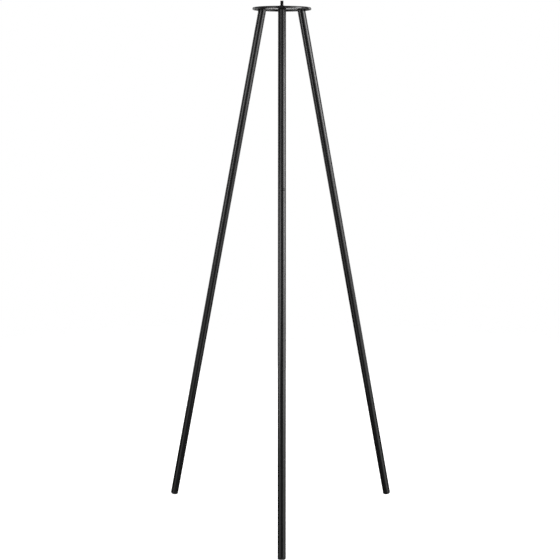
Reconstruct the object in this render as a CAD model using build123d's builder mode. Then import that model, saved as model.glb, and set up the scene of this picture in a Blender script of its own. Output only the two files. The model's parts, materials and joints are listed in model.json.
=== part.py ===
from build123d import *
import os
from math import cos, radians, sin, sqrt, tan

# Take-down tripod stand. Three straight legs of round tube push up onto spigots
# welded under a dished steel head plate, and a threaded stud stands at the plate's
# centre. Each leg is three equal tubes, joined by sleeves that are riveted into the
# top of the lower tube and slip into the tube above.
#
# Millimetres, +Z up. The floor is Z = 0, and the origin is the middle of the
# footprint's bounding box. The front leg points towards -Y.

# ---- legs ----
leg_azimuths = {"front": -90, "right": 30, "left": 150}
lean = 12.25  # from the vertical
leg_circle_radius = 72.0  # where the leg axes meet the plate's underside
tube_radius = 12.7
tube_wall = 1.5
section_length = 568.0
section_names = ("upper", "middle", "lower")
tube_end_chamfer = 0.4
seat_gap = 0.2  # between a seated leg's outer edge and the plate

# ---- slip joints ----
slip_clearance = 0.08  # radial
sleeve_wall = 1.5
spigot_length = 55.0
coupler_length = 90.0
sleeve_end_chamfer = 0.7

# ---- rivets that hold the couplers ----
rivet_radius = 2.0
rivet_hole_radius = 2.1
rivet_head_radius = 4.0
rivet_head_height = 1.3
rivet_head_edge_radius = 1.1
rivet_head_skirt = 1.0  # below the tube's crest, before it is cut to the tube
rivet_bulb_radius = 2.7
rivet_bulb_length = 2.8
rivet_bulb_gap = 0.5  # the bulb's flat end stands off the sleeve's curved wall
rivet_drop = 8.0  # below the seam
# turned about the leg from straight outward, counter-clockwise seen from above
rivet_turns = {"front": (27, 170), "right": (75, 110), "left": (-110, -70)}

# ---- foot plugs ----
foot_height = 6.5
foot_edge_radius = 4.0
foot_stem_length = 20.0
foot_stem_radius = 10.2
foot_rib_radius = 11.15
foot_rib_height = 2.0
foot_rib_pitch = 5.0
foot_rib_count = 3

# ---- head plate ----
plate_radius = 94.0
plate_gauge = 3.0
plate_rim_height = 7.5
plate_corner_radius = 3.0
plate_inner_corner_radius = 1.5
plate_lip_edge_radius = 0.8
plate_hole_radius = 5.8

# ---- centre bolt, 7/16-14 x 1 in, with its washer and jam nut ----
bolt_radius = 5.556  # the thread's major radius, drawn smooth above the nut
bolt_body_radius = 4.967  # the thread's pitch radius, from the head to the top of the nut
bolt_length = 25.4
bolt_tip_chamfer = 1.1
bolt_flat_radius = 7.94
bolt_head_height = 7.1
nut_flat_radius = 8.73
nut_height = 6.2
nut_clearance = 0.1
nut_countersink = 0.8
washer_radius = 10.0
washer_thickness = 1.0
washer_rim_width = 2.2
washer_tooth_radius = 5.8
washer_tooth_width = 1.8
washer_tooth_count = 10


# ---- worked out from the above ----
def outward(azimuth):
    """Level direction from the stand's axis to a leg."""
    return Vector(cos(radians(azimuth)), sin(radians(azimuth)), 0)


def down_leg(azimuth):
    """Direction from the head to the foot along a leg's axis."""
    return outward(azimuth) * sin(radians(lean)) - Vector(0, 0, cos(radians(lean)))


# distances along a leg from the plate's underside
leg_top = tube_radius * tan(radians(lean)) + seat_gap / cos(radians(lean))
leg_bottom = leg_top + len(section_names) * section_length
foot_ring_distance = leg_bottom + foot_height - foot_edge_radius
foot_ring_radius = tube_radius - foot_edge_radius


def foot_reach(azimuth, direction):
    """How far a foot's rounded edge reaches in a direction from under the head's middle."""
    axis = down_leg(azimuth)
    ring_centre = outward(azimuth) * leg_circle_radius + axis * foot_ring_distance
    ring_reach = foot_ring_radius * sqrt(1 - axis.dot(direction) ** 2)
    return ring_centre.dot(direction) + ring_reach + foot_edge_radius


underside_z = foot_reach(leg_azimuths["front"], Vector(0, 0, -1))
front_reach = foot_reach(leg_azimuths["front"], Vector(0, -1, 0))
back_reach = foot_reach(leg_azimuths["right"], Vector(0, 1, 0))
head_centre = Vector(0, (front_reach - back_reach) / 2, underside_z)
plate_top_z = underside_z + plate_gauge
nut_top_z = plate_top_z + nut_height
bolt_seat_z = underside_z - washer_thickness
bolt_head_z = bolt_seat_z - bolt_head_height

sleeve_radius = tube_radius - tube_wall - slip_clearance
sleeve_bore_radius = sleeve_radius - sleeve_wall
bulb_top = sleeve_bore_radius - rivet_bulb_gap


def head_plane(height):
    """Level plane on the stand's axis, at a height above the floor."""
    return Plane(origin=(head_centre.X, head_centre.Y, height))


def leg_plane(azimuth, distance):
    """Plane across a leg, its Z up the leg and its X away from the stand."""
    axis = down_leg(azimuth)
    origin = head_centre + outward(azimuth) * leg_circle_radius + axis * distance
    away = outward(azimuth) * cos(radians(lean)) + Vector(0, 0, sin(radians(lean)))
    return Plane(origin=origin, x_dir=away, z_dir=-axis)


def rivet_plane(azimuth, seam, turn):
    """Plane through a leg's axis below a seam, its Z along the rivet, out of the tube."""
    across = leg_plane(azimuth, seam + rivet_drop)
    along_rivet = across.x_dir.rotate(Axis((0, 0, 0), across.z_dir), turn)
    return Plane(origin=across.origin, x_dir=across.z_dir, z_dir=along_rivet)


def outer_rims(pipe):
    """The widest round edges of the pipe being built, one at each end."""
    return pipe.edges().filter_by(GeomType.CIRCLE).group_by(SortBy.RADIUS)[-1]


def cut_rivet_hole(plane):
    """Hole through one wall of the tube or sleeve being built."""
    with BuildSketch(plane) as hole:
        Circle(rivet_hole_radius)
    extrude(hole.sketch, amount=2 * tube_radius, mode=Mode.SUBTRACT)


def trim_hex_corners(base_z, flat_radius, height, faces):
    """Rounds off the hexagon being built, at its bottom face alone or at both faces."""
    corner_radius = flat_radius / cos(radians(30))
    chamfer_height = (corner_radius - flat_radius) * tan(radians(30))
    outline = [(0, 0), (flat_radius, 0), (corner_radius, chamfer_height)]
    if faces == 2:
        outline.append((corner_radius, height - chamfer_height))
        outline.append((flat_radius, height))
    else:
        outline.append((corner_radius, height))
    outline.append((0, height))
    middle = Vector(head_centre.X, head_centre.Y, base_z)
    with BuildSketch(Plane(origin=middle, x_dir=(1, 0, 0), z_dir=(0, -1, 0))) as profile:
        with BuildLine():
            Polyline(*outline, close=True)
        make_face()
    revolve(profile.sketch, axis=Axis(middle, (0, 0, 1)), mode=Mode.INTERSECT)


def save(part, node):
    part.label = node
    export_step(part, f"parts/{node}.step")


os.makedirs("parts", exist_ok=True)

# ---- head plate: a disc with a turned-down lip ----
with BuildPart() as head_plate:
    with BuildSketch(head_plane(plate_top_z)):
        Circle(plate_radius)
    extrude(amount=-plate_rim_height)
    fillet(head_plate.edges().sort_by(Axis.Z)[-1], plate_corner_radius)
    with BuildSketch(head_plane(underside_z)):
        Circle(plate_radius - plate_gauge)
    extrude(amount=-plate_rim_height, mode=Mode.SUBTRACT)
    fillet(head_plate.edges().group_by(Axis.Z)[0], plate_lip_edge_radius)
    dish_edge = head_plate.edges().filter_by_position(Axis.Z, underside_z - 0.01, underside_z + 0.01)
    fillet(dish_edge, plate_inner_corner_radius)
    with BuildSketch(head_plane(underside_z)):
        Circle(plate_hole_radius)
    extrude(amount=plate_gauge, mode=Mode.SUBTRACT)

save(head_plate.part, "head_plate")

# ---- centre bolt, head down under the plate ----
with BuildPart() as centre_bolt:
    with BuildSketch(head_plane(bolt_head_z)):
        RegularPolygon(bolt_flat_radius, 6, major_radius=False)
    extrude(amount=bolt_head_height)
    trim_hex_corners(bolt_head_z, bolt_flat_radius, bolt_head_height, faces=1)
    with BuildSketch(head_plane(bolt_seat_z)):
        Circle(bolt_body_radius)
    extrude(amount=nut_top_z - bolt_seat_z)
    with BuildSketch(head_plane(nut_top_z)):
        Circle(bolt_radius)
    extrude(amount=bolt_seat_z + bolt_length - nut_top_z)
    chamfer(centre_bolt.edges().sort_by(Axis.Z)[-1], bolt_tip_chamfer)

save(centre_bolt.part, "centre_bolt")

# ---- internal-tooth lock washer between the bolt's head and the plate ----
washer_tooth_length = washer_radius - washer_tooth_radius - washer_rim_width / 2
with BuildPart() as lock_washer:
    with BuildSketch(head_plane(bolt_seat_z)):
        Circle(washer_radius)
        Circle(washer_radius - washer_rim_width, mode=Mode.SUBTRACT)
        with PolarLocations(washer_tooth_radius + washer_tooth_length / 2, washer_tooth_count):
            Rectangle(washer_tooth_length, washer_tooth_width)
    extrude(amount=washer_thickness)

save(lock_washer.part, "lock_washer")

# ---- jam nut on top of the plate ----
with BuildPart() as jam_nut:
    with BuildSketch(head_plane(plate_top_z)):
        RegularPolygon(nut_flat_radius, 6, major_radius=False)
    extrude(amount=nut_height)
    trim_hex_corners(plate_top_z, nut_flat_radius, nut_height, faces=2)
    with BuildSketch(head_plane(plate_top_z)):
        Circle(bolt_body_radius + nut_clearance)
    extrude(amount=nut_height, mode=Mode.SUBTRACT)
    bore_edges = jam_nut.edges().filter_by(GeomType.CIRCLE).group_by(SortBy.RADIUS)[0]
    chamfer(bore_edges, nut_countersink)

save(jam_nut.part, "jam_nut")

for side, azimuth in leg_azimuths.items():
    # ---- spigot, cut off level where it is welded to the plate ----
    with BuildPart() as spigot:
        with BuildSketch(leg_plane(azimuth, spigot_length)):
            Circle(sleeve_radius)
            Circle(sleeve_bore_radius, mode=Mode.SUBTRACT)
        extrude(amount=spigot_length + tube_radius)
        chamfer(outer_rims(spigot).sort_by(Axis.Z)[0], sleeve_end_chamfer)
        split(bisect_by=head_plane(underside_z), keep=Keep.BOTTOM)

    save(spigot.part, f"{side}_spigot")

    for number, section in enumerate(section_names):
        tube_top = leg_top + number * section_length
        has_coupler = number > 0
        if has_coupler:
            rivet_at = rivet_plane(azimuth, tube_top, rivet_turns[side][number - 1])

        # ---- leg tube ----
        with BuildPart() as tube:
            with BuildSketch(leg_plane(azimuth, tube_top + section_length)):
                Circle(tube_radius)
                Circle(tube_radius - tube_wall, mode=Mode.SUBTRACT)
            extrude(amount=section_length)
            chamfer(outer_rims(tube), tube_end_chamfer)
            if has_coupler:
                cut_rivet_hole(rivet_at)

        save(tube.part, f"{side}_{section}_tube")

        if has_coupler:
            # ---- coupler sleeve, half in this tube and half in the one above ----
            with BuildPart() as coupler:
                with BuildSketch(leg_plane(azimuth, tube_top + coupler_length / 2)):
                    Circle(sleeve_radius)
                    Circle(sleeve_bore_radius, mode=Mode.SUBTRACT)
                extrude(amount=coupler_length)
                chamfer(outer_rims(coupler), sleeve_end_chamfer)
                cut_rivet_hole(rivet_at)

            save(coupler.part, f"{side}_{section}_coupler")

            # ---- blind rivet: domed head outside, bulb inside ----
            with BuildPart() as rivet:
                with BuildSketch(rivet_at.offset(tube_radius - rivet_head_skirt)):
                    Circle(rivet_head_radius)
                extrude(amount=rivet_head_skirt + rivet_head_height)
                head_top = rivet.edges().sort_by(Axis(rivet_at.origin, rivet_at.z_dir))[-1]
                fillet(head_top, rivet_head_edge_radius)
                # the head's underside follows the tube
                with BuildSketch(leg_plane(azimuth, tube_top + rivet_drop)):
                    Circle(tube_radius)
                extrude(amount=2 * rivet_head_radius, both=True, mode=Mode.SUBTRACT)
                with BuildSketch(rivet_at.offset(bulb_top)):
                    Circle(rivet_radius)
                extrude(amount=tube_radius + rivet_head_height / 2 - bulb_top)
                with BuildSketch(rivet_at.offset(bulb_top)):
                    Circle(rivet_bulb_radius)
                extrude(amount=-rivet_bulb_length)

            save(rivet.part, f"{side}_{section}_rivet")

    # ---- foot plug: ribbed stem in the tube, rounded head flush outside it ----
    with BuildPart() as foot_plug:
        with BuildSketch(leg_plane(azimuth, leg_bottom + foot_height)):
            Circle(tube_radius)
        extrude(amount=foot_height)
        along_leg = Axis(leg_plane(azimuth, 0).origin, leg_plane(azimuth, 0).z_dir)
        fillet(foot_plug.edges().sort_by(along_leg)[0], foot_edge_radius)
        with BuildSketch(leg_plane(azimuth, leg_bottom)):
            Circle(foot_stem_radius)
        extrude(amount=foot_stem_length)
        for rib in range(1, foot_rib_count + 1):
            with BuildSketch(leg_plane(azimuth, leg_bottom - rib * foot_rib_pitch)):
                Circle(foot_rib_radius)
            extrude(amount=foot_rib_height)

    save(foot_plug.part, f"{side}_foot_plug")
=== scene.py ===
import json
from math import atan2, cos, hypot, pi, radians, sin, sqrt, tan

import bmesh
import bpy
from mathutils import Matrix, Vector, noise


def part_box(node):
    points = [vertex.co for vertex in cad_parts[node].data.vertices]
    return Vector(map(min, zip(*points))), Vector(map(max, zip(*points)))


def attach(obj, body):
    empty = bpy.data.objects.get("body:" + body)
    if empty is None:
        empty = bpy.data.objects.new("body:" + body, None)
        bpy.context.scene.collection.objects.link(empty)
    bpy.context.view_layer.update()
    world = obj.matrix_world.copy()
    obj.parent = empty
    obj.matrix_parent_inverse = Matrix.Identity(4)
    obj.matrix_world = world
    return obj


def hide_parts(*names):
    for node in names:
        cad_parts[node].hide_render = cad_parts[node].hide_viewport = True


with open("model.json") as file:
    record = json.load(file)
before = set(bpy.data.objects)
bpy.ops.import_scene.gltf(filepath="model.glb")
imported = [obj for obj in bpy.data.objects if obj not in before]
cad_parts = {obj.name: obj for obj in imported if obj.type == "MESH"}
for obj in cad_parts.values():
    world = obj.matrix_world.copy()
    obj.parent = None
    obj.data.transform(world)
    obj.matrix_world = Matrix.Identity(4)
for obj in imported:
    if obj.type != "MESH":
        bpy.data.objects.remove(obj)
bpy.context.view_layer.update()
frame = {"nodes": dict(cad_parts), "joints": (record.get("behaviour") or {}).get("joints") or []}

# Take-down tripod stand: the looks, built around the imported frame. Blender's unit is
# the metre. Names that end in _mm hold millimetres, and MM turns those into metres.
MM = 0.001
UP = Vector((0, 0, 1))
SIDES = ("front", "right", "left")
SECTIONS = ("upper", "middle", "lower")

# ---- sizes shared with the CAD source, in millimetres ----
tube_radius_mm = 12.7
spigot_radius_mm = 11.12
sleeve_bore_radius_mm = 9.62
leg_top_mm = 2.96  # from the plate's underside to the upper tube, along the leg
rivet_drop_mm = 8.0
rivet_turns = {"front": (27, 170), "right": (75, 110), "left": (-110, -70)}
stud_radius_mm = 5.556
bolt_body_radius_mm = 4.967
thread_pitch_mm = 1.8143
tip_chamfer_mm = 1.1
bolt_flat_radius_mm = 7.94
nut_flat_radius_mm = 8.73
nut_clearance_mm = 0.1
nut_countersink_mm = 0.8

# ---- the visual pieces' own settings ----
hex_segments = 72
skin_gap_mm = 0.02  # the thread's crests stay inside the CAD stud

# ---- places read from the frame ----
plate_low, plate_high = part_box("head_plate")
stand_axis = Vector(((plate_low.x + plate_high.x) / 2, (plate_low.y + plate_high.y) / 2, 0))
plate_top = plate_high.z
bolt_seat, underside = (corner.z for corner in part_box("lock_washer"))
bolt_bottom, bolt_tip = (corner.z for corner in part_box("centre_bolt"))
nut_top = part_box("jam_nut")[1].z


class Leg:
    """A leg's axis, read from its joint and its tubes, and the directions across it."""

    def __init__(self, side):
        joint = next(j for j in frame["joints"] if j["name"] == f"{side}_upper_pull")
        self.down = Vector(joint["axis"]).normalized()
        middles = []
        for section in SECTIONS:
            low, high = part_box(f"{side}_{section}_tube")
            middles.append((low + high) / 2)
        self.section_length = (middles[1] - middles[0]).length
        self.seams = [(middles[0] + middles[1]) / 2, (middles[1] + middles[2]) / 2]
        self.bottom = middles[2] + self.down * self.section_length / 2
        self.root = self.bottom + self.down * (underside - self.bottom.z) / self.down.z
        self.lean = atan2(hypot(self.down.x, self.down.y), -self.down.z)
        level = Vector((self.down.x, self.down.y, 0)).normalized()
        self.away = level * cos(self.lean) + UP * sin(self.lean)
        self.across = self.away.cross(self.down)

    def normal(self, turn):
        """Direction out of the tube, turned counter-clockwise from straight outward, seen from above."""
        return self.away * cos(turn) + self.across * sin(turn)


legs = {side: Leg(side) for side in SIDES}


# ---- mesh helpers ----
def skin(rings, looped=False):
    """Vertices and faces of a surface through closed rings of points. A ring of one point is a pole."""
    verts, starts = [], []
    for ring in rings:
        starts.append(len(verts))
        verts += ring
    pairs = [(i, i + 1) for i in range(len(rings) - 1)]
    if looped:
        pairs.append((len(rings) - 1, 0))
    faces = []
    for a, b in pairs:
        count_a, count_b = len(rings[a]), len(rings[b])
        count = max(count_a, count_b)
        for i in range(count):
            j = (i + 1) % count
            corners = (
                starts[a] + i % count_a,
                starts[a] + j % count_a,
                starts[b] + j % count_b,
                starts[b] + i % count_b,
            )
            faces.append(list(dict.fromkeys(corners)))
    return verts, faces


def joined(shapes):
    """One shape from several."""
    verts, faces = [], []
    for shape_verts, shape_faces in shapes:
        shift = len(verts)
        verts += shape_verts
        faces += [[i + shift for i in face] for face in shape_faces]
    return verts, faces


def even_angles(count):
    return [2 * pi * i / count for i in range(count)]


def turned(origin, axis, across, profile, angles, looped=False, reshape=None):
    """A shape turned about an axis from (radius, height) pairs in millimetres."""
    side = axis.cross(across)
    rings = []
    for radius, height in profile:
        if radius == 0:
            rings.append([origin + axis * height * MM])
            continue
        ring = []
        for angle in angles:
            r, h = reshape(radius, height, angle) if reshape else (radius, height)
            ring.append(origin + (across * cos(angle) + side * sin(angle)) * r * MM + axis * h * MM)
        rings.append(ring)
    return skin(rings, looped)


def add_piece(name, shape, body, materials, replaces=None, crease=38, pick_material=None):
    """A mesh object that rides on a CAD body."""
    verts, faces = shape
    mesh = bpy.data.meshes.new(name)
    mesh.from_pydata([tuple(v) for v in verts], [], faces)
    bm = bmesh.new()
    bm.from_mesh(mesh)
    bmesh.ops.recalc_face_normals(bm, faces=bm.faces)
    bm.to_mesh(mesh)
    bm.free()
    for material in materials:
        mesh.materials.append(material)
    for polygon in mesh.polygons:
        polygon.use_smooth = True
        if pick_material:
            polygon.material_index = pick_material(polygon.center)
    mesh.set_sharp_from_angle(angle=radians(crease))
    obj = bpy.data.objects.new(name, mesh)
    bpy.context.scene.collection.objects.link(obj)
    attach(obj, body)
    if replaces:
        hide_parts(replaces)


# ---- node helpers ----
class Nodes:
    """Adds nodes to a tree. An input is given as a number, a colour, a vector or another node's output."""

    def __init__(self, tree):
        self.tree = tree

    def add(self, kind, inputs=(), **settings):
        node = self.tree.nodes.new(kind)
        for name, value in settings.items():
            setattr(node, name, value)
        for key, value in dict(inputs).items():
            self.feed(node.inputs[key], value)
        return node

    def feed(self, socket, value):
        if isinstance(value, bpy.types.NodeSocket):
            self.tree.links.new(value, socket)
        elif isinstance(value, Vector):
            socket.default_value = value[:]
        else:
            socket.default_value = value

    def math(self, operation, a, b=0.0):
        return self.add("ShaderNodeMath", {0: a, 1: b}, operation=operation).outputs[0]

    def ease(self, value, start, end):
        """0 before start and 1 after end, smoothly in between. With start above end, it falls."""
        inputs = {"Value": value, "From Min": start, "From Max": end}
        if start > end:
            inputs = {"Value": value, "From Min": end, "From Max": start}
            inputs |= {"To Min": 1.0, "To Max": 0.0}
        return self.add("ShaderNodeMapRange", inputs, interpolation_type="SMOOTHSTEP").outputs["Result"]

    def span(self, value, low, high):
        """Stretches a value of 0 to 1 over low to high."""
        inputs = {"Value": value, "To Min": low, "To Max": high}
        return self.add("ShaderNodeMapRange", inputs).outputs["Result"]

    def noise(self, vector, scale, detail=2.0, roughness=0.5):
        inputs = {"Vector": vector, "Scale": scale, "Detail": detail, "Roughness": roughness}
        return self.add("ShaderNodeTexNoise", inputs).outputs["Fac"]

    def blend(self, share, a, b):
        node = self.add("ShaderNodeMix", data_type="RGBA")
        self.feed(node.inputs["Factor"], share)
        self.feed(node.inputs[6], a)
        self.feed(node.inputs[7], b)
        return node.outputs[2]

    def dot(self, vector, direction):
        node = self.add("ShaderNodeVectorMath", {0: vector, 1: direction}, operation="DOT_PRODUCT")
        return node.outputs["Value"]

    def minus(self, vector, point):
        node = self.add("ShaderNodeVectorMath", {0: vector, 1: point}, operation="SUBTRACT")
        return node.outputs["Vector"]

    def combine(self, x, y, z):
        return self.add("ShaderNodeCombineXYZ", {"X": x, "Y": y, "Z": z}).outputs["Vector"]


class Finish(Nodes):
    """A material with a Principled shader, and coordinates along and across an axis of the object."""

    def __init__(self, name, origin, axis, across):
        self.material = bpy.data.materials.new(name)
        self.material.use_nodes = True
        super().__init__(self.material.node_tree)
        self.shader = self.tree.nodes["Principled BSDF"]
        self.spot = self.add("ShaderNodeTexCoord").outputs["Object"]
        offset = self.minus(self.spot, origin)
        self.along = self.dot(offset, axis)
        self.u = self.dot(offset, across)
        self.v = self.dot(offset, axis.cross(across))

    def radius(self):
        squares = self.math("ADD", self.math("POWER", self.u, 2.0), self.math("POWER", self.v, 2.0))
        return self.math("SQRT", squares)

    def streaks(self, along_scale, across_scale, detail=2.0):
        """Noise drawn out along the axis."""
        stretched = self.combine(
            self.math("MULTIPLY", self.u, across_scale),
            self.math("MULTIPLY", self.v, across_scale),
            self.math("MULTIPLY", self.along, along_scale),
        )
        return self.noise(stretched, 1.0, detail)

    def surface(self, colour, roughness, heights):
        """Sets the shader. heights are (value, depth in millimetres) pairs for bumps, one over another."""
        self.feed(self.shader.inputs["Base Color"], colour)
        self.feed(self.shader.inputs["Roughness"], roughness)
        normal = None
        for value, depth_mm in heights:
            inputs = {"Height": value, "Strength": 1.0, "Distance": depth_mm * MM}
            if normal:
                inputs["Normal"] = normal
            normal = self.add("ShaderNodeBump", inputs).outputs["Normal"]
        self.feed(self.shader.inputs["Normal"], normal)
        return self.material


# ---- finishes ----
def powder_coat(name, origin, axis, across, wear=None):
    """Black satin powder coat: faint orange peel, soft clouding and fine rubbed streaks."""
    f = Finish(name, origin, axis, across)
    cloud = f.noise(f.spot, 28.0, 3.0)
    peel = f.noise(f.spot, 620.0, 2.0)
    speck = f.noise(f.spot, 2600.0, 1.0)
    rubbed = f.ease(f.streaks(9.0, 520.0), 0.60, 0.74)
    colour = f.blend(cloud, (0.0115, 0.0115, 0.0118, 1), (0.0165, 0.0165, 0.0168, 1))
    colour = f.blend(f.math("MULTIPLY", rubbed, 0.25), colour, (0.032, 0.032, 0.032, 1))
    roughness = f.math("ADD", f.span(cloud, 0.17, 0.23), f.math("MULTIPLY", rubbed, 0.08))
    if wear:
        worn = wear(f)
        colour = f.blend(worn, colour, (0.085, 0.083, 0.080, 1))
        roughness = f.math("ADD", roughness, f.math("MULTIPLY", worn, 0.12))
    f.shader.inputs["IOR"].default_value = 1.5
    return f.surface(colour, roughness, ((peel, 0.011), (speck, 0.002)))


def leg_wear(leg):
    """Rubbed paint where sections push together, and scuffs just above the foot."""
    stations = [(point - leg.root).length for point in leg.seams]
    foot = (leg.bottom - leg.root).length

    def wear(f):
        patches = f.ease(f.noise(f.spot, 260.0, 4.0, 0.65), 0.50, 0.68)
        marks = 0.0
        for station in stations:
            gap = f.math("ABSOLUTE", f.math("SUBTRACT", f.along, station))
            marks = f.math("MAXIMUM", marks, f.math("MULTIPLY", f.ease(gap, 2.2 * MM, 0.3 * MM), 0.55))
        low = f.math("MULTIPLY", f.ease(f.along, foot - 45 * MM, foot), 0.30)
        return f.math("MULTIPLY", f.math("MAXIMUM", marks, low), patches)

    return wear


def plate_wear(f):
    """Rubbed paint along the rim's edges and in rings around the nut, where accessories turn."""
    patches = f.ease(f.noise(f.spot, 180.0, 4.0, 0.65), 0.48, 0.68)
    radius = f.radius()
    rim = f.math("MULTIPLY", f.ease(radius, 91.5 * MM, 93.8 * MM), 0.16)
    ring = f.math("MULTIPLY", f.ease(radius, 34 * MM, 12 * MM), 0.50)
    upper = f.ease(f.along, -1.0 * MM, 0.0)
    return f.math("MULTIPLY", f.math("MAXIMUM", rim, f.math("MULTIPLY", ring, upper)), patches)


def spigot_wear(f):
    """Long bright rubs where a tube slides on and off."""
    return f.math("MULTIPLY", f.ease(f.streaks(14.0, 900.0, 3.0), 0.52, 0.66), 0.8)


def black_oxide(name, crest_mm=None):
    """Blackened steel, polished where a thread's crests are handled."""
    f = Finish(name, stand_axis, UP, Vector((1, 0, 0)))
    cloud = f.noise(f.spot, 160.0, 4.0, 0.6)
    grain = f.noise(f.spot, 1900.0, 2.0)
    colour = f.blend(cloud, (0.020, 0.020, 0.022, 1), (0.042, 0.041, 0.041, 1))
    if crest_mm:
        crest = f.ease(f.radius(), (crest_mm - 0.16) * MM, crest_mm * MM)
        crest = f.math("MULTIPLY", crest, f.ease(cloud, 0.42, 0.62))
        colour = f.blend(f.math("MULTIPLY", crest, 0.5), colour, (0.16, 0.155, 0.15, 1))
    f.shader.inputs["Metallic"].default_value = 0.85
    return f.surface(colour, f.span(cloud, 0.30, 0.46), ((grain, 0.012),))


def drawn_steel(name, leg):
    """Bare drawn tube with lengthwise die lines and a film of oil."""
    f = Finish(name, leg.root, leg.down, leg.away)
    lines = f.streaks(6.0, 1500.0, 3.0)
    stain = f.ease(f.noise(f.spot, 70.0, 4.0, 0.6), 0.42, 0.66)
    colour = f.blend(lines, (0.34, 0.34, 0.335, 1), (0.50, 0.495, 0.48, 1))
    colour = f.blend(f.math("MULTIPLY", stain, 0.45), colour, (0.20, 0.185, 0.165, 1))
    f.shader.inputs["Metallic"].default_value = 1.0
    roughness = f.math("ADD", f.span(lines, 0.24, 0.40), f.math("MULTIPLY", stain, 0.08))
    return f.surface(colour, roughness, ((lines, 0.010),))


def moulded_plastic(name, leg):
    """Black moulded polyethylene: fine spark-eroded grain, with floor dust near the ground."""
    f = Finish(name, leg.bottom, leg.down, leg.away)
    cloud = f.noise(f.spot, 90.0, 3.0)
    grain = f.noise(f.spot, 2300.0, 2.0, 0.6)
    ground = f.math("ADD", f.dot(f.spot, UP), f.math("MULTIPLY", f.noise(f.spot, 420.0, 3.0), 2.4 * MM))
    dust = f.math("MULTIPLY", f.ease(ground, 3.2 * MM, 0.8 * MM), 0.28)
    colour = f.blend(cloud, (0.008, 0.0078, 0.0075, 1), (0.013, 0.0125, 0.012, 1))
    colour = f.blend(dust, colour, (0.10, 0.092, 0.080, 1))
    roughness = f.math("ADD", f.span(cloud, 0.42, 0.54), f.math("MULTIPLY", dust, 0.6))
    return f.surface(colour, roughness, ((grain, 0.022),))


def mandrel_steel(name):
    """The broken end of a rivet's mandrel."""
    f = Finish(name, stand_axis, UP, Vector((1, 0, 0)))
    grain = f.noise(f.spot, 2400.0, 3.0)
    colour = f.blend(grain, (0.05, 0.05, 0.05, 1), (0.20, 0.195, 0.19, 1))
    f.shader.inputs["Metallic"].default_value = 1.0
    return f.surface(colour, f.span(grain, 0.35, 0.55), ((grain, 0.03),))


top_middle = Vector((stand_axis.x, stand_axis.y, plate_top))
plate_coat = powder_coat("powder_coat_plate", top_middle, UP, Vector((1, 0, 0)), plate_wear)
leg_coats = {
    side: powder_coat(f"powder_coat_{side}", leg.root, leg.down, leg.away, leg_wear(leg))
    for side, leg in legs.items()
}
spigot_coats = {
    side: powder_coat(f"powder_coat_spigot_{side}", leg.root, leg.down, leg.away, spigot_wear)
    for side, leg in legs.items()
}
bolt_oxide = black_oxide("black_oxide_bolt", crest_mm=stud_radius_mm)
nut_oxide = black_oxide("black_oxide_nut")
sleeve_steels = {side: drawn_steel(f"drawn_steel_{side}", leg) for side, leg in legs.items()}
foot_plastics = {side: moulded_plastic(f"moulded_plastic_{side}", leg) for side, leg in legs.items()}
mandrel = mandrel_steel("mandrel_steel")

finishes = {"head_plate": plate_coat}
for side in SIDES:
    finishes[f"{side}_spigot"] = spigot_coats[side]
    for section in SECTIONS:
        finishes[f"{side}_{section}_tube"] = leg_coats[side]
    for section in SECTIONS[1:]:
        finishes[f"{side}_{section}_coupler"] = sleeve_steels[side]
for node, material in finishes.items():
    for material_slot in frame["nodes"][node].material_slots:
        material_slot.material = material


# ---- centre bolt: forged hexagon head below the plate, thread above ----
def hex_rings(flat_radius, height, both_ends):
    """(radius, height) functions of angle up the outside of a hexagon from its lower face."""

    def side(angle):
        """Distance to a side, the corners eased."""
        return min(flat_radius / cos(angle % (pi / 3) - pi / 6), flat_radius / cos(pi / 6) - 0.10)

    def edge(angle, setback):
        """Height of the 30 degree chamfer where it meets a side."""
        return max(0.0, (side(angle) - flat_radius) * tan(pi / 6)) + setback

    rings = [lambda a: (side(a) - 0.10, edge(a, 0.0)), lambda a: (side(a), edge(a, 0.14))]
    if both_ends:
        rings.append(lambda a: (side(a), height - edge(a, 0.14)))
        rings.append(lambda a: (side(a) - 0.10, height - edge(a, 0.0)))
    else:
        rings.append(lambda a: (side(a), height - 0.14))
        rings.append(lambda a: (side(a) - 0.12, height))
    return rings


def round_ring(radius, height):
    return lambda angle: (radius, height)


def ring_points(base_z, ring, angles):
    points = []
    for angle in angles:
        radius, height = ring(angle)
        x = stand_axis.x + radius * MM * cos(angle)
        y = stand_axis.y + radius * MM * sin(angle)
        points.append(Vector((x, y, base_z + height * MM)))
    return points


def thread_radius(height_mm, angle):
    """Radius of a right-hand 60 degree thread with flat crests and roots."""
    crest_share = 0.125  # of the pitch
    flank_share = 0.625  # both flanks together
    depth = 0.5413 * thread_pitch_mm  # 5/8 of a sharp 60 degree thread's height
    phase = (height_mm / thread_pitch_mm - angle / (2 * pi)) % 1.0
    rise = abs(phase - 0.5) * 2
    flank = min(1.0, max(0.0, (rise - crest_share) / flank_share))
    return stud_radius_mm - skin_gap_mm - depth * flank


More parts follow.
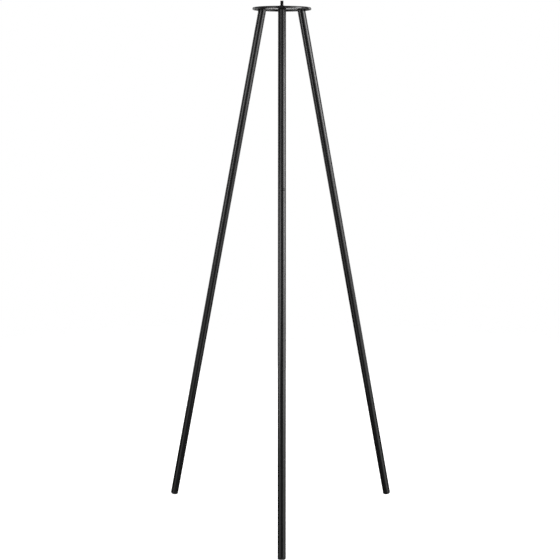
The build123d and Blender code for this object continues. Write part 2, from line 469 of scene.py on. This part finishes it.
def bolt_shape():
    angles = even_angles(hex_segments)
    rows_per_turn = 12
    head_height = (bolt_seat - bolt_bottom) / MM
    tip = (bolt_tip - bolt_bottom) / MM
    thread_start = head_height + 0.3
    nut_face = (nut_top - bolt_bottom) / MM
    rings = [round_ring(r, h) for r, h in ((4.0, 0.50), (5.0, 0.44), (5.6, 0.06), (5.9, 0.0), (7.8, 0.0))]
    rings += hex_rings(bolt_flat_radius_mm, head_height, both_ends=False)
    rings += [round_ring(7.4, head_height), round_ring(5.4, head_height)]

    def cut(height):
        def ring(angle):
            limit = bolt_body_radius_mm - 0.03
            limit += max(0.0, min(0.61, (height - nut_face + nut_countersink_mm) * 0.76))
            limit = min(limit, stud_radius_mm - tip_chamfer_mm + tip - height)
            return min(thread_radius(height, angle), limit), height

        return ring

    rows = round((tip - thread_start) / (thread_pitch_mm / rows_per_turn))
    for i in range(rows + 1):
        rings.append(cut(thread_start + (tip - thread_start) * i / rows))
    points = [[Vector((stand_axis.x, stand_axis.y, bolt_bottom + 0.50 * MM))]]
    points += [ring_points(bolt_bottom, ring, angles) for ring in rings]
    points.append([Vector((stand_axis.x, stand_axis.y, bolt_tip))])
    return skin(points)


add_piece("threaded_bolt", bolt_shape(), "head", [bolt_oxide], "centre_bolt")


# ---- jam nut: chamfered both sides, with a countersunk bore ----
def nut_shape():
    height = (nut_top - plate_top) / MM
    bore = bolt_body_radius_mm + nut_clearance_mm
    sink = nut_countersink_mm
    mouth = bore + sink
    face = 8.5  # radius of the flat that the corners' chamfers leave
    rings = [round_ring(bore, sink), round_ring(mouth, 0.0), round_ring(face, 0.0)]
    rings += hex_rings(nut_flat_radius_mm, height, both_ends=True)
    rings += [round_ring(face, height), round_ring(mouth, height), round_ring(bore, height - sink)]
    angles = even_angles(hex_segments)
    return skin([ring_points(plate_top, ring, angles) for ring in rings], looped=True)


add_piece("chamfered_nut", nut_shape(), "head", [nut_oxide], "jam_nut")


# ---- internal-tooth lock washer: a flat ring with ten twisted teeth ----
def washer_shape():
    base = Vector((stand_axis.x, stand_axis.y, bolt_seat))
    ring = [(7.8, 0.15), (7.95, 0.0), (9.8, 0.0), (10.0, 0.2)]
    ring += [(10.0, 0.8), (9.8, 1.0), (7.95, 1.0), (7.8, 0.85)]
    tooth_root, tooth_length = 8.1, 2.25
    half_width, taper, half_thickness = 0.9, 0.18, 0.25
    tooth_twist = radians(15)
    shapes = [turned(base, UP, Vector((1, 0, 0)), ring, even_angles(96), looped=True)]
    for turn in even_angles(10):
        outward = Vector((cos(turn), sin(turn), 0))
        sideways = UP.cross(outward)
        sections = []
        for step in range(6):
            share = step / 5
            middle = base + outward * (tooth_root - tooth_length * share) * MM + UP * 0.5 * MM
            twist = tooth_twist * share
            wide = (sideways * cos(twist) + UP * sin(twist)) * (half_width - taper * share) * MM
            thick = (UP * cos(twist) - sideways * sin(twist)) * half_thickness * MM
            upper = [middle + wide + thick, middle - wide + thick]
            lower = [middle - wide - thick, middle + wide - thick]
            sections.append(upper + lower)
        ends = [sum(sections[k], Vector()) / 4 for k in (0, -1)]
        shapes.append(skin([[ends[0]], *sections, [ends[1]]]))
    return joined(shapes)


add_piece("tooth_washer", washer_shape(), "head", [nut_oxide], "lock_washer")


# ---- weld beads: each runs round the inner side of a spigot, where the tube leaves room ----
def bead_shape(leg, side_number):
    reach = radians(128)  # either way from the innermost point
    run_out = radians(14)  # where each end tapers off
    full_leg, sunk, plate_bite = 2.5, 0.25, 0.15
    clear_of_tube = 0.45
    hollow, ripple_depth, ripple_pitch = 0.86, 0.045, 1.7
    steps, arc = 150, 9
    sections = []
    for i in range(steps + 1):
        around = pi + reach * (2 * i / steps - 1)
        wall = leg.normal(around)
        drop = spigot_radius_mm * cos(around) * tan(leg.lean)
        corner = leg.root + wall * spigot_radius_mm * MM + leg.down * drop * MM
        level = Vector((wall.x, wall.y, 0)).normalized()
        travel = spigot_radius_mm * around
        wobble = noise.noise(Vector((travel * 0.25, side_number * 7.0, 0))) * 0.14
        room = leg_top_mm - clear_of_tube - drop
        taper = min(1.0, (reach - abs(around - pi)) / run_out)
        leg_length = min(full_leg, room) * (1 + wobble) * sqrt(max(taper, 0.02))
        section = [corner - level * sunk * MM + UP * plate_bite * MM]
        section.append(corner + level * leg_length * MM + UP * plate_bite * MM)
        for j in range(arc + 1):
            turn = pi / 2 * j / arc
            ripple = 1 + ripple_depth * sin(2 * pi * (travel / ripple_pitch + 0.35 * sin(2 * turn)))
            size = leg_length * (hollow + 0.10 * sin(2 * turn)) * ripple
            section.append(corner + (level * cos(turn) + leg.down * sin(turn)) * size * MM)
        section.append(corner - level * sunk * MM + leg.down * leg_length * hollow * MM)
        sections.append(section)
    ends = [sum(sections[k], Vector()) / len(sections[k]) for k in (0, -1)]
    return skin([[ends[0]], *sections, [ends[1]]])


for number, side in enumerate(SIDES):
    bead = bead_shape(legs[side], number)
    add_piece(f"{side}_weld_bead", bead, "head", [plate_coat], crease=70)


# ---- blind rivets: a domed head that follows the tube, the snapped mandrel, and the bulb inside ----
def rivet_shape(leg, centre, outward):
    lengthwise = -leg.down
    bulb_top = sleeve_bore_radius_mm - 0.5

    def saddle(radius, angle):
        return sqrt(tube_radius_mm**2 - (radius * sin(angle)) ** 2)

    def reshape(radius, height, angle):
        """Heights given below 0 are measured from the tube's wall, which curves away across the rivet."""
        return (radius, height) if height > 0 else (radius, saddle(radius, angle) + height + 0.05)

    profile = [
        (0, 13.72), (0.55, 13.70), (0.82, 13.60), (0.92, 13.40), (1.08, 13.40), (1.22, 13.78), (1.45, 13.95),
        (2.1, 13.97), (2.8, 13.86), (3.3, 13.64), (3.68, 13.32), (3.90, 12.98),
        (3.97, -0.02), (3.90, -0.05), (2.1, -0.05), (2.0, -0.12),
        (2.0, bulb_top + 0.05), (2.35, bulb_top), (2.66, bulb_top - 0.45), (2.68, bulb_top - 1.2),
        (2.35, bulb_top - 1.8), (1.75, bulb_top - 2.0), (1.6, bulb_top - 2.45), (1.1, bulb_top - 2.78),
        (0, bulb_top - 2.8),
    ]
    return turned(centre, outward, lengthwise, profile, even_angles(48), reshape=reshape)


mandrel_base_mm = 13.5  # from the leg's axis
mandrel_radius_mm = 0.88

for side, leg in legs.items():
    for section, seam, turn in zip(SECTIONS[1:], leg.seams, rivet_turns[side]):
        centre = seam + leg.down * rivet_drop_mm * MM
        outward = leg.normal(radians(turn))

        def in_mandrel(point, centre=centre, outward=outward):
            offset = point - centre
            height = offset.dot(outward)
            from_axis = (offset - outward * height).length
            return int(height > mandrel_base_mm * MM and from_axis < mandrel_radius_mm * MM)

        add_piece(
            f"{side}_{section}_blind_rivet",
            rivet_shape(leg, centre, outward),
            f"{side}_{section}",
            [leg_coats[side], mandrel],
            f"{side}_{section}_rivet",
            pick_material=in_mandrel,
        )


# ---- foot plugs: barbed hollow stem in the tube, and a rounded treaded head below it ----
def plug_shape(leg):
    head_radius, head_height, edge = 12.6, 6.5, 4.0
    stem, barb, rib_pitch = 10.2, 11.1, 5
    ridge_height = 0.09
    profile = [(0, head_height)]
    for groove in (2.0, 4.6, 7.0):
        profile += [(groove - 0.55, head_height), (groove - 0.30, head_height - 0.38)]
        profile += [(groove + 0.30, head_height - 0.38), (groove + 0.55, head_height)]
    for i in range(1, 11):
        turn = radians(9 * i)
        profile.append((head_radius - edge + edge * sin(turn), head_height - edge + edge * cos(turn)))
    profile += [(head_radius, 1.4), (head_radius, 0.75), (12.42, 0.45)]
    profile += [(12.05, 0.30), (11.9, 0.04), (stem, 0.02)]
    for rib in (1, 2, 3):
        low = -rib_pitch * rib
        profile += [(stem, low + 0.4), (barb, low + 0.02), (barb, low - 0.35), (stem, low - 2.0)]
    profile += [(stem, -18.6), (9.6, -20.0), (8.7, -20.0), (8.4, -19.6)]
    profile += [(8.1, -4.0), (7.4, -3.2), (0, -3.0)]
    ridges = (pi / 2, 3 * pi / 2)
    angles = sorted(even_angles(96) + [r + radians(d) for r in ridges for d in (-1.1, -0.5, 0.5, 1.1)])

    def reshape(radius, height, angle):
        """Raises the mould's parting line on the outside of the head."""
        near = min(abs(angle - r) for r in ridges)
        on_outside = radius > head_radius - edge and height > 0.5
        return radius + (ridge_height if near < radians(0.6) and on_outside else 0), height

    return turned(leg.bottom, leg.down, leg.away, profile, angles, reshape=reshape)


for side, leg in legs.items():
    add_piece(
        f"{side}_moulded_foot",
        plug_shape(leg),
        f"{side}_lower",
        [foot_plastics[side]],
        f"{side}_foot_plug",
    )


# ---- floor: pale and plain, fading into the backdrop ----
def add_floor():
    fade_start, fade_end, radius = 1.6, 4.0, 4.2
    centre = Vector((0, 0, 0))
    rings = [[centre]]
    for reach in (0.5, 1.0, 2.0, 3.0, radius):
        rings.append([centre + Vector((reach * cos(a), reach * sin(a), 0)) for a in even_angles(96)])
    verts, faces = skin(rings)
    mesh = bpy.data.meshes.new("floor")
    mesh.from_pydata([tuple(v) for v in verts], [], faces)
    f = Finish("floor_paint", centre, UP, Vector((1, 0, 0)))
    f.feed(f.shader.inputs["Base Color"], (0.84, 0.84, 0.84, 1))
    f.feed(f.shader.inputs["Roughness"], 0.9)
    f.shader.inputs["Specular IOR Level"].default_value = 0.1
    f.shader.inputs["Emission Color"].default_value = (1, 1, 1, 1)
    f.shader.inputs["Emission Strength"].default_value = 0.85
    f.feed(f.shader.inputs["Alpha"], f.ease(f.radius(), fade_end, fade_start))
    mesh.materials.append(f.material)
    floor = bpy.data.objects.new("floor", mesh)
    bpy.context.scene.collection.objects.link(floor)
    floor.visible_glossy = False
    floor.visible_diffuse = False
    floor.visible_shadow = False


add_floor()


# ---- studio: soft boxes in a ring about the stand, and a little light from overhead ----
box_distance = 2.3


def add_soft_box(name, start, end, low, high, radiance):
    """An upright panel facing the stand. Its sides are in degrees from the camera, positive to its right."""
    data = bpy.data.lights.new(name, "AREA")
    data.shape = "RECTANGLE"
    data.size = 2 * box_distance * tan(radians(end - start) / 2)
    data.size_y = high - low
    data.energy = radiance * pi * data.size * data.size_y
    box = bpy.data.objects.new(name, data)
    azimuth = radians(start + end) / 2
    outward = Vector((sin(azimuth), -cos(azimuth), 0))
    box.location = Vector((stand_axis.x, stand_axis.y, (low + high) / 2)) + outward * box_distance
    box.rotation_euler = outward.to_track_quat("Z", "Y").to_euler()
    box.visible_camera = False
    bpy.context.scene.collection.objects.link(box)


def add_studio():
    # name, start and end in degrees, low and high in metres, radiance
    boxes = (
        ("key", 55, 80, 1.1, 2.3, 7.8),
        ("key_under", 55, 80, 0.5, 1.1, 3.5),
        ("key_near", 33, 55, 0.5, 3.2, 2.3),
        ("key_far", 80, 105, 0.0, 3.2, 0.9),
        ("key_low", 33, 80, -1.2, 0.5, 1.1),
        ("fill_near", -45, -23, 1.1, 3.2, 2.0),
        ("fill_far", -65, -45, 0.5, 1.7, 3.6),
        ("fill_low", -65, -23, -1.2, 0.5, 0.7),
        ("left", -120, -90, 0.0, 3.2, 0.45),
        ("back_left", -150, -128, 0.0, 3.2, 1.1),
        ("back_right", 128, 150, 0.0, 3.2, 1.3),
        ("back_low", 170, 190, 0.0, 1.5, 0.5),
        ("back_high", 170, 190, 1.5, 2.0, 2.4),
    )
    for box in boxes:
        add_soft_box(*box)
    world = bpy.data.worlds.new("studio")
    world.use_nodes = True
    bpy.context.scene.world = world
    n = Nodes(world.node_tree)
    n.tree.nodes.clear()
    direction = n.add("ShaderNodeTexCoord").outputs["Generated"]
    base_light, overhead_light, backdrop = 0.012, 0.55, 1.0
    overhead = n.ease(n.dot(direction, UP), 0.80, 0.93)
    light = n.math("ADD", base_light, n.math("MULTIPLY", overhead, overhead_light))
    seen = n.add("ShaderNodeLightPath").outputs["Is Camera Ray"]
    inputs = {"Factor": seen, "A": light, "B": backdrop}
    strength = n.add("ShaderNodeMix", inputs, data_type="FLOAT").outputs["Result"]
    shade = n.add("ShaderNodeBackground", {"Color": (1, 1, 1, 1), "Strength": strength})
    output = n.add("ShaderNodeOutputWorld")
    n.tree.links.new(shade.outputs["Background"], output.inputs["Surface"])
    bpy.context.scene.view_settings.view_transform = "Standard"


add_studio()

# ---- camera ----
camera_data = bpy.data.cameras.new("camera")
camera_data.lens = 82.58
camera_data.sensor_width = 36.0
camera = bpy.data.objects.new("camera", camera_data)
heading, pitch, roll = radians(-0.299), radians(-8.398), radians(0.106)
aim = Matrix.Rotation(heading, 3, "Z") @ Matrix.Rotation(pi / 2 + pitch, 3, "X")
camera.rotation_euler = (aim @ Matrix.Rotation(roll, 3, "Z")).to_euler()
camera.location = (-0.0263, -4.0784, 1.4176)
bpy.context.scene.collection.objects.link(camera)
bpy.context.scene.camera = camera
